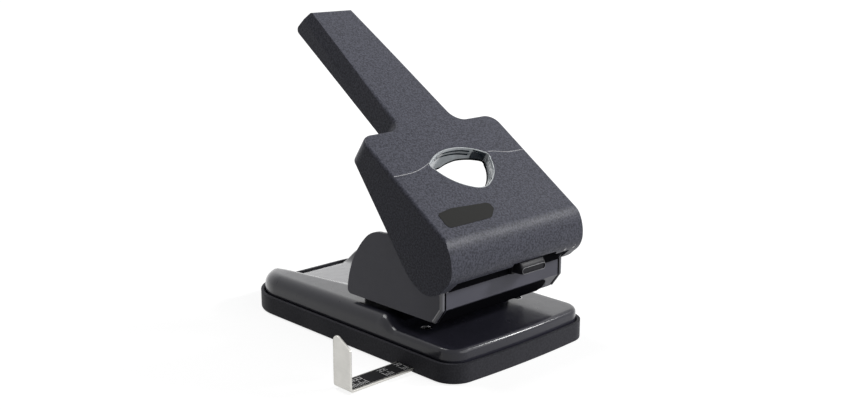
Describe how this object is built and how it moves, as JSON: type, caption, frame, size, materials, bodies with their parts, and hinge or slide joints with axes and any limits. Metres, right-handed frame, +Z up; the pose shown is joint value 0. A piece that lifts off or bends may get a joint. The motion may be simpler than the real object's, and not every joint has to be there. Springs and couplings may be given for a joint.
{
  "type": "hole punch",
  "caption": "Hand-operated desk hole punch with a long lever, sprung punch pins, a sliding paper guide, a slide lock and a chip tray that comes off.",
  "frame": {"origin": "centre of the flat underside of the chip tray", "axes": "+X to the right, +Y to the rear along the base, +Z up"},
  "size_m": [0.1688, 0.2065, 0.1956],
  "materials": {
    "tray_plastic": "satin",
    "foot_rubber": "matte",
    "cover_enamel": "gloss",
    "inner_steel": "satin",
    "bright_steel": "polished",
    "bracket_enamel": "satin gloss",
    "black_plastic": "satin",
    "spring_steel": "satin",
    "white_nylon": "satin",
    "handle_plastic": "fine texture",
    "bezel_plastic": "gloss",
    "label_film": "satin",
    "lock_plastic": "satin",
    "guide_steel": "satin",
    "scale_film": "satin"
  },
  "bodies": {
    "tray": {"chip_tray": "tray_plastic", "foot_pads": "foot_rubber"},
    "frame": {"base_cover": "cover_enamel", "die_plate": "inner_steel", "die_bush_left": "bright_steel", "die_bush_right": "bright_steel", "bracket_spacer": "inner_steel", "backing_plate": "inner_steel", "bracket_rivets": "bright_steel", "bracket": "bracket_enamel", "paper_stop": "black_plastic", "pivot_shaft": "bright_steel", "retaining_ring_left": "spring_steel", "retaining_ring_right": "spring_steel", "pin_guide_left": "inner_steel", "pin_guide_right": "inner_steel", "thrust_washer_left": "white_nylon", "thrust_washer_right": "white_nylon", "return_spring_left": "spring_steel", "return_spring_right": "spring_steel"},
    "handle": {"lever": "inner_steel", "pressure_bar": "bright_steel", "handle_shell": "handle_plastic", "handle_screws": "bright_steel", "window_bezel": "bezel_plastic", "handle_label": "label_film", "lock_carrier": "black_plastic"},
    "left_pin": {"punch_pin_left": "bright_steel"},
    "right_pin": {"punch_pin_right": "bright_steel"},
    "lock": {"lock_slide": "lock_plastic"},
    "guide": {"paper_guide": "guide_steel", "guide_scale": "scale_film"}
  },
  "joints": [
    {"name": "tray_release", "type": "slide", "parent": "tray", "child": "frame", "axis": [0, 0, 1], "range_m": [0, 0.03]},
    {"name": "handle_hinge", "type": "hinge", "parent": "frame", "child": "handle", "pos_m": [0, -0.0791, 0.06705], "axis": [-1, 0, 0], "range_deg": [0, 45], "stiffness_Nm_per_rad": 1.6, "springref_deg": -34.38},
    {"name": "left_pin_slide", "type": "slide", "parent": "frame", "child": "left_pin", "axis": [0, 0, -1], "range_m": [0, 0.0162], "deforming": ["return_spring_left"]},
    {"name": "right_pin_slide", "type": "slide", "parent": "frame", "child": "right_pin", "axis": [0, 0, -1], "range_m": [0, 0.0162], "deforming": ["return_spring_right"]},
    {"name": "lock_travel", "type": "slide", "parent": "handle", "child": "lock", "axis": [1, 0, 0], "range_m": [-0.004, 0.0112]},
    {"name": "guide_travel", "type": "slide", "parent": "tray", "child": "guide", "axis": [1, 0, 0], "range_m": [-0.025, 0.044]}
  ],
  "couplings": [
    {"joint": "left_pin_slide", "follows": "handle_hinge", "m_per_rad": 0.020464},
    {"joint": "right_pin_slide", "follows": "handle_hinge", "m_per_rad": 0.020464}
  ]
}
